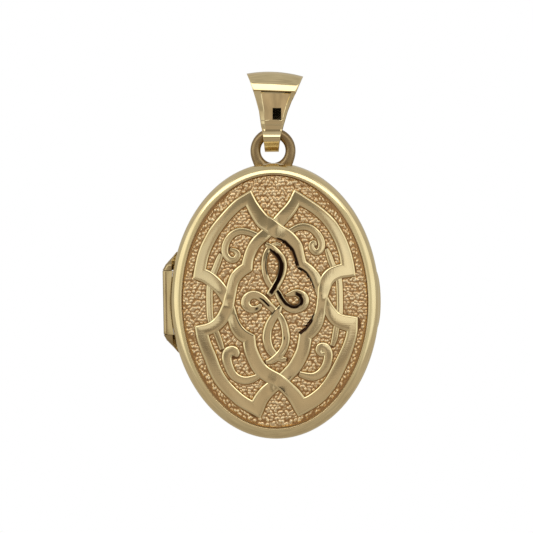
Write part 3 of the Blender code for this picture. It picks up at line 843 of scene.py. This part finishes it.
def make_hinge_end(name, side):
    """Tapered end knuckle: a round section that shrinks and slides along the body edge to a point."""
    height = np.linspace(0.0, 1.0, 26)
    z = KNUCKLE_HALF + 0.012 + height ** 1.5 * (HINGE_TIP - KNUCKLE_HALF - 0.012)
    knots = (2.82, 3.30, 3.62, 3.95, HINGE_TIP)
    outer = np.interp(z, knots, (-9.79, -9.52, -9.24, -8.93, -8.55))
    radius = np.interp(z, knots, (KNUCKLE_RADIUS, 0.34, 0.25, 0.17, 0.07))
    middle = np.interp(z, knots, (HINGE_Y, HINGE_Y, HINGE_Y + 0.20, HINGE_Y + 0.25, HINGE_Y + 0.18))
    near = -edge_x(z) - 0.03
    turn = np.radians(np.linspace(-105.0, -260.0, 28))
    x = (outer + radius)[:, None] + radius[:, None] * np.cos(turn)
    y = middle[:, None] + radius[:, None] * np.sin(turn)
    corner = np.minimum(np.maximum(HINGE_X + 0.42, outer + radius * 1.1), near - 0.01)
    front = middle - radius * 0.97
    bend = np.minimum(radius * 0.2, 0.04)[:, None]
    x = np.hstack([corner[:, None], corner[:, None] - bend, x, near[:, None], near[:, None]])
    y = np.hstack([front[:, None] + bend * 2.0, front[:, None] + bend * 0.2, y,
                   (middle + radius * 0.9)[:, None],
                   np.maximum(middle - radius * 0.2, HINGE_Y + 0.03)[:, None]])
    shrink = np.interp(z - z[0], (0.0, 0.04), (0.82, 1.0))[:, None]
    x = HINGE_X + (x - HINGE_X) * shrink
    y = HINGE_Y + (y - HINGE_Y) * shrink
    points = np.stack([x, y, np.broadcast_to(side * z[:, None], x.shape)], -1)
    return add_surface(name, points, HINGE_GOLD, caps=True, crease=40.0)


def make_web():
    """Strip between the barrel and the side wall of the front cover, following the wall's curve."""
    z = np.linspace(-KNUCKLE_HALF, KNUCKLE_HALF, 40)[:, None]
    near = -edge_x(z) - 0.02
    section = rounded_section(((0.0, -1.34), (0.0, -0.97), (-9.18, -0.97), (-9.44, -1.03), (-9.42, -1.12)),
                              0.04)
    on_wall = section[None, :, 0] > -5.0
    x = np.where(on_wall, near + section[None, :, 0], section[None, :, 0])
    points = np.stack(np.broadcast_arrays(x, section[None, :, 1], z), -1)
    return add_surface("hinge_leaf", points, HINGE_GOLD, caps=True, crease=30.0)


def make_thumb_lip():
    """Thin strip along the free side of the front cover, its proud edge fading out at both ends."""
    swing = np.linspace(-1.0, 1.0, 41)[:, None]
    angle = math.pi / 2.0 + math.radians(11.5) * swing
    proud = 0.12 - 0.09 * swing ** 4
    section = np.array(((0.0, -0.60), (0.6, -0.60), (0.95, -0.61), (1.0, -0.65), (1.0, -0.76), (0.9, -0.81),
                        (0.4, -0.92), (0.0, -0.98)))
    inset = 0.01 - proud * section[None, :, 0]
    x, z = oval(np.broadcast_to(angle, inset.shape), inset)
    y = np.broadcast_to(section[None, :, 1], x.shape)
    return add_surface("thumb_catch", np.stack([x, y, z], -1), RIM_GOLD, caps=True, crease=30.0)


# ---------------------------------------------------------------- loop and bail


def make_loop():
    """Round wire ring whose feet spread where they meet the top of the back half."""
    turn = np.linspace(math.radians(10.0), math.radians(350.0), 170)[:, None]
    foot = np.minimum(turn - turn[0], turn[-1] - turn)
    spread = np.exp(-(foot / 0.62) ** 2)
    around = np.linspace(0.0, 2.0 * math.pi, 40, endpoint=False)[None, :]
    radius = LOOP_RADIUS + (WIRE + 0.02 + 0.55 * spread * np.maximum(np.cos(around), 0.0)) * np.cos(around)
    x = -radius * np.sin(turn)
    z = LOOP_TOP - LOOP_RADIUS - radius * np.cos(turn)
    y = WIRE * np.sin(around) + 0.0 * turn
    seat = HALF_HEIGHT * np.sqrt(np.maximum(1.0 - (x / HALF_WIDTH) ** 2, 0.0)) - 0.22
    z = np.maximum(z, seat)
    return add_surface("hanging_ring", np.stack([x, y, z], -1), LOOP_GOLD, caps=True, crease=60.0)


# Bail: side view of its front, from the crown to the nose, as y and height under the crown.
BAIL_CROWN_LINE = ((0.0, 0.0), (-0.50, -0.05), (-0.98, -0.20), (-1.36, -0.50), (-1.56, -0.84), (-1.66, -1.04),
                   (-1.80, -1.38), (-1.88, -1.62), (-1.89, -1.68))
BAIL_PANEL_LINE = ((-1.74, -1.73), (-1.66, -2.10), (-1.46, -3.10), (-1.27, -4.10), (-1.12, -5.00),
                   (-1.08, -5.20))
BAIL_ROLL_LINE = ((-1.11, -5.25), (-1.17, -5.34), (-1.29, -5.62), (-1.32, -5.82), (-1.27, -6.02),
                  (-1.10, -6.24))
BAIL_NOSE_LINE = ((-1.01, -6.31), (-0.84, -6.55), (-0.55, -6.80), (-0.27, -6.93), (0.0, -6.97))
# Height under the crown, half width, middle line and slope of the rows, as the strap leans and bends.
BAIL_OUTLINE = np.array((
    (-6.97, 0.60, -0.10, 0.005), (-6.30, 0.66, -0.09, 0.005), (-5.45, 0.78, -0.05, 0.012),
    (-4.65, 0.98, -0.02, 0.02), (-3.45, 1.23, 0.09, 0.035), (-2.55, 1.52, 0.15, 0.045),
    (-1.70, 1.85, 0.24, 0.052), (-1.10, 2.08, 0.27, 0.058), (-0.50, 2.27, 0.28, 0.064),
    (0.0, 2.46, 0.275, 0.067)))
BAIL_TOP_RADIUS = 1.35
BAIL_SEAT_RADIUS = 0.84
BAIL_THICKNESS = 0.45


def bail_inner_line(count):
    """Inside of the folded strap from crown to seat: two round ends joined by their tangent."""
    upper = BAIL_CROWN - BAIL_THICKNESS - BAIL_TOP_RADIUS
    lean = math.asin((BAIL_TOP_RADIUS - BAIL_SEAT_RADIUS) / (upper - LOOP_TOP))
    top = np.linspace(math.pi / 2.0, math.pi + lean, 60)
    bottom = np.linspace(math.pi + lean, 1.5 * math.pi, 60)
    y = np.r_[BAIL_TOP_RADIUS * np.cos(top), BAIL_SEAT_RADIUS * np.cos(bottom)]
    z = np.r_[upper + BAIL_TOP_RADIUS * np.sin(top), LOOP_TOP + BAIL_SEAT_RADIUS * np.sin(bottom)]
    length = np.r_[0.0, np.cumsum(np.hypot(np.diff(y), np.diff(z)))]
    at = np.linspace(0.0, length[-1], count)
    return np.interp(at, length, y), np.interp(at, length, z)


def ramp(value, start, end):
    """Straight ramp from 0 at start to 1 at end."""
    return np.clip((value - start) / (end - start), 0.0, 1.0)


def bail_depth(v, drop, x):
    """How far the outer face lies behind its middle line at share v and place x across, drop under the crown.

    Rolled edges everywhere; under the ledge a wide facet on the left, a narrow one on the right and a
    sunk panel between them that swells both ways; under the panel two shallow steps.
    """
    edge = 0.06 * ramp(np.abs(v), 0.94, 1.0) ** 2
    lower = ramp(drop, 1.70, 1.74) * ramp(drop, 5.15, 5.0)
    left = 0.15 * ramp(v, -0.64, -1.0)
    right = 0.10 * ramp(v, 0.82, 1.0)
    inner = ramp(v, -0.66, -0.62) * ramp(v, 0.82, 0.78) * ramp(drop, 1.84, 1.89) * ramp(drop, 4.24, 4.20)
    pillow = 0.055 - 0.054 * (x - 0.17) ** 2 - 0.021 * (drop - 3.03) ** 2
    steps = 0.02 * ramp(drop, 4.22, 4.26) + 0.025 * ramp(drop, 4.56, 4.62)
    return edge + lower * (left + right + inner * (0.045 - pillow) + steps)


def make_bail():
    """Folded strap: outer and inner side lines carried across the tapering width.

    The outer face carries bail_depth; rows slope and bow so that the crown droops at both ends.
    """
    outer = np.vstack([smooth_path(line, 0.025) for line in (BAIL_CROWN_LINE, BAIL_PANEL_LINE, BAIL_ROLL_LINE,
                                                             BAIL_NOSE_LINE)])
    inner_y, inner_drop = bail_inner_line(len(outer))
    inner_drop = inner_drop - BAIL_CROWN
    v = np.sin(np.linspace(-0.5, 0.5, 61) * math.pi)
    v = np.sort(np.r_[v, -0.66, -0.62, 0.78, 0.82])
    sides = []
    for y, height, face in ((outer[:, 0], outer[:, 1], True), (inner_y, inner_drop, False)):
        y = np.r_[y, -y[-2:0:-1]]
        height = np.r_[height, height[-2:0:-1]]
        half, middle, slope = (np.interp(height, BAIL_OUTLINE[:, 0], column)[:, None]
                               for column in BAIL_OUTLINE.T[1:])
        across = v if face else v[::-1]
        x = middle + (half if face else half - 0.02) * across[None, :]
        depth = bail_depth(across[None, :], -height[:, None], x) if face else 0.0
        bow = -0.28 * ramp(height, -1.1, 0.0)[:, None] * across[None, :] ** 2
        z = BAIL_CROWN + height[:, None] - slope * (x - middle) + bow
        sides.append(np.stack(np.broadcast_arrays(x, y[:, None] - np.sign(y)[:, None] * depth, z), -1))
    points = np.concatenate(sides, axis=1)
    return add_surface("bail_strap", points, BAIL_GOLD, wrap_rows=True, crease=28.0)


# ---------------------------------------------------------------- assembly


def place(obj, body, slot_name, *nodes):
    """Rides the piece on its body and lets it stand for CAD nodes; slot_name is not used."""
    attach(obj, body)
    if nodes:
        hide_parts(*nodes)


def assemble():
    """Makes every piece and puts it on its body."""
    place(make_bail(), "bail", "polished_gold", "bail")
    place(make_loop(), "back_half", "polished_gold", "suspension_loop")
    place(make_back_cover(), "back_half", "polished_gold", "back_cover")
    place(make_front_cover(), "front_half", "polished_gold", "front_cover")
    panel = make_panel()
    place(panel[0], "front_half", "struck_gold", "knot_panel")
    for piece in panel[1:]:
        place(piece, "front_half", "struck_gold")
    slots = {"window": "clear_window", "card": "plain_card"}
    for name, piece in make_inside().items():
        body = "back_half" if name.startswith("back") else "front_half"
        kind = SHEETS[name][3] if name in SHEETS else None
        place(piece, body, slots.get(kind, "polished_gold"), name)
    place(make_knuckle(), "front_half", "polished_gold", "hinge_knuckle_center")
    place(make_web(), "front_half", "polished_gold", "hinge_web")
    place(make_thumb_lip(), "front_half", "polished_gold", "thumb_lip")
    place(make_hinge_end("hinge_shoulder_upper", 1.0), "back_half", "polished_gold", "hinge_end_upper")
    place(make_hinge_end("hinge_shoulder_lower", -1.0), "back_half", "polished_gold", "hinge_end_lower")
    pin = frame["nodes"]["hinge_pin"]
    pin.data.materials.clear()
    pin.data.materials.append(INSIDE_GOLD)


# ---------------------------------------------------------------- studio


def soft_light(name, place_mm, size_mm, radiance, colour=(1.0, 1.0, 1.0)):
    """Rectangular area light that faces the body; its power gives the asked radiance."""
    light = bpy.data.lights.new(name, "AREA")
    light.shape = "RECTANGLE"
    light.size, light.size_y = (s * MM for s in size_mm)
    light.energy = radiance * math.pi * light.size * light.size_y
    light.color = colour
    obj = bpy.data.objects.new(name, light)
    target = Vector((0.0, 0.0, BODY_Z * MM))
    obj.location = Vector(place_mm) * MM + target
    obj.rotation_euler = (target - obj.location).to_track_quat("-Z", "Y").to_euler()
    bpy.context.scene.collection.objects.link(obj)
    return obj


def sky_value(tree, direction, low, high, soft):
    """1 between low and high of a direction value, 0 outside, with soft sides."""
    sides = [map_range(tree, (0, 0), direction, edge - soft * sign, edge + soft * sign,
                       interpolation_type="SMOOTHSTEP") for edge, sign in ((low, 1.0), (high, -1.0))]
    return combine(tree, "MULTIPLY", (0, 0), *sides)


def make_sky():
    """World light by direction: a warm dim room in front, paler towards the top and behind.

    SKY_PATCHES lie on the front wall, whose width and height are x / -y and z / -y of the direction; a
    slow noise breaks the room up.
    """
    world = bpy.data.worlds.new("soft studio")
    bpy.context.scene.world = world
    world.use_nodes = True
    tree = world.node_tree
    link = tree.links.new
    where = node(tree, "ShaderNodeTexCoord", (-1500, 0)).outputs["Generated"]
    split = node(tree, "ShaderNodeSeparateXYZ", (-1300, 0))
    link(where, split.inputs[0])
    front = combine(tree, "MULTIPLY", (-1100, -200), split.outputs["Y"], -1.0)
    ahead = combine(tree, "MAXIMUM", (-900, -200), front, 0.05)
    across, up = (combine(tree, "DIVIDE", (-700, 0), split.outputs[axis], ahead) for axis in "XZ")
    room = node(tree, "ShaderNodeValToRGB", (-300, 300))
    while len(room.color_ramp.elements) < len(SKY_STOPS):
        room.color_ramp.elements.new(0.5)
    for element, (at, colour) in zip(room.color_ramp.elements, SKY_STOPS):
        element.position = at
        element.color = (*colour, 1.0)
    link(map_range(tree, (-500, 300), split.outputs["Z"], -1.0, 1.0), room.inputs["Fac"])
    colour = room.outputs["Color"]
    ahead_only = map_range(tree, (0, 0), front, 0.05, 0.15)
    for (left, right, low, high, soft), tint in SKY_PATCHES:
        mask = combine(tree, "MULTIPLY", (0, 0), sky_value(tree, across, left, right, soft),
                       sky_value(tree, up, low, high, soft))
        mix = node(tree, "ShaderNodeMix", (300, 300), data_type="RGBA")
        link(combine(tree, "MULTIPLY", (0, 0), mask, ahead_only), mix.inputs[0])
        link(colour, mix.inputs[6])
        mix.inputs[7].default_value = (*tint, 1.0)
        colour = mix.outputs[2]
    clutter = noise(tree, (-500, -500), where, 9.0, 3.0)
    scaled = node(tree, "ShaderNodeVectorMath", (500, 0), operation="SCALE")
    link(colour, scaled.inputs[0])
    link(map_range(tree, (-300, -500), clutter, 0.35, 0.65, 0.84, 1.14), scaled.inputs["Scale"])
    link(scaled.outputs["Vector"], tree.nodes["Background"].inputs["Color"])
    tree.nodes["Background"].inputs["Strength"].default_value = 1.0


# Sky colour by height from straight down (0) to straight up (1).
SKY_STOPS = ((0.0, (0.38, 0.33, 0.27)), (0.30, (0.50, 0.45, 0.38)), (0.46, (0.50, 0.46, 0.38)),
             (0.55, (0.50, 0.47, 0.40)), (0.75, (0.55, 0.51, 0.45)), (1.0, (0.50, 0.47, 0.42)))
# Patches on the front wall, later ones over earlier ones: (left, right, low, high, softness), colour.
SKY_PATCHES = (
    ((-9.0, -0.95, -0.50, 1.60, 0.12), (1.12, 1.09, 0.95)),
    ((0.95, 9.0, -0.50, 1.60, 0.12), (1.00, 0.98, 0.88)),
    ((-0.85, -0.38, -0.40, 0.60, 0.08), (0.56, 0.53, 0.42)),
    ((0.38, 0.85, -0.40, 0.60, 0.08), (0.62, 0.60, 0.50)),
    ((-0.38, 0.38, -0.60, 0.45, 0.06), (0.50, 0.42, 0.34)),
    ((-0.19, 0.13, 0.080, 0.50, 0.015), (0.25, 0.22, 0.18)),
    ((-0.40, -0.12, -0.150, -0.095, 0.012), (0.24, 0.20, 0.16)),
    ((0.09, 0.40, -0.170, -0.110, 0.012), (0.30, 0.25, 0.20)),
    ((-0.155, -0.110, -0.12, 0.02, 0.010), (0.28, 0.24, 0.19)),
    ((0.060, 0.105, -0.12, 0.03, 0.010), (0.24, 0.21, 0.17)),
    ((-0.42, -0.165, -0.085, 0.080, 0.010), (0.78, 0.74, 0.66)),
    ((0.118, 0.42, -0.095, 0.120, 0.010), (0.88, 0.84, 0.76)),
)


def make_room():
    """Pale backdrop, sky, one wide soft box high in front and a small dark card low in front."""
    make_sky()
    staged = [soft_light("high box", (-10.0, -235.0, 205.0), (560.0, 86.0), 1.40, (1.0, 0.97, 0.86))]

    bright, tree, shader = new_material("backdrop")
    tree.nodes.remove(shader)
    glow = node(tree, "ShaderNodeEmission", (-200, 100))
    clear = node(tree, "ShaderNodeBsdfTransparent", (-200, -100))
    side = node(tree, "ShaderNodeNewGeometry", (-200, 300))
    both = node(tree, "ShaderNodeMixShader", (0, 0))
    link = tree.links.new
    link(side.outputs["Backfacing"], both.inputs[0])
    link(glow.outputs[0], both.inputs[1])
    link(clear.outputs[0], both.inputs[2])
    link(both.outputs[0], tree.nodes["Material Output"].inputs["Surface"])
    staged.append(flat_sheet("backdrop", (0.0, 150.0, 0.0), (0.0, -1.0, 0.0), (600.0, 600.0), bright))
    staged[-1].visible_glossy = False
    staged[-1].visible_diffuse = False

    dark, tree, shader = new_material("dark card")
    shader.inputs["Base Color"].default_value = (0.008, 0.008, 0.008, 1.0)
    shader.inputs["Specular IOR Level"].default_value = 0.0
    card = flat_sheet("low card", (4.9, -250.0, -93.5), (-4.9, 250.0, 110.0), (44.0, 16.0), dark)
    card.visible_camera = False
    card.visible_diffuse = False
    card.visible_shadow = False


def flat_sheet(name, place_mm, normal, size, material):
    """Flat sheet of a width and height at a place, facing along the normal."""
    w, h = (side / 2.0 * MM for side in size)
    corners = [(-w, -h, 0.0), (w, -h, 0.0), (w, h, 0.0), (-w, h, 0.0)]
    mesh = bpy.data.meshes.new(name)
    mesh.from_pydata(corners, [], [(0, 1, 2, 3)])
    mesh.materials.append(material)
    turn = Vector(normal).to_track_quat("Z", "Y").to_matrix().to_4x4()
    shift = Matrix.Translation(Vector(place_mm) * MM + Vector((0.0, 0.0, BODY_Z * MM)))
    mesh.transform(shift @ turn)
    obj = bpy.data.objects.new(name, mesh)
    bpy.context.scene.collection.objects.link(obj)
    return obj


def make_camera():
    """Long lens a little above and to the right of the locket's axis, rolled so that its top leans left."""
    distance = 300.0
    view_width = 46.46
    rise, side, roll = math.radians(2.3), math.radians(1.5), math.radians(0.93)
    data = bpy.data.cameras.new("camera")
    data.sensor_width = 36.0
    data.lens = data.sensor_width * distance / view_width
    data.clip_start = 0.01
    data.clip_end = 5.0
    cam = bpy.data.objects.new("camera", data)
    bpy.context.scene.collection.objects.link(cam)
    back = Vector((math.sin(side) * math.cos(rise), -math.cos(side) * math.cos(rise), math.sin(rise)))
    turn = (-back).to_track_quat("-Z", "Y") @ Matrix.Rotation(-roll, 3, "Z").to_quaternion()
    right = turn @ Vector((1.0, 0.0, 0.0))
    upward = turn @ Vector((0.0, 1.0, 0.0))
    body = Vector((0.0, FRONT_SEAM, BODY_Z))
    middle = body - right * 0.764 + upward * 2.993
    cam.rotation_mode = "QUATERNION"
    cam.rotation_quaternion = turn
    cam.location = (middle + back * distance) * MM
    bpy.context.scene.camera = cam


assemble()
make_room()
make_camera()
bpy.context.scene.view_settings.view_transform = "Standard"
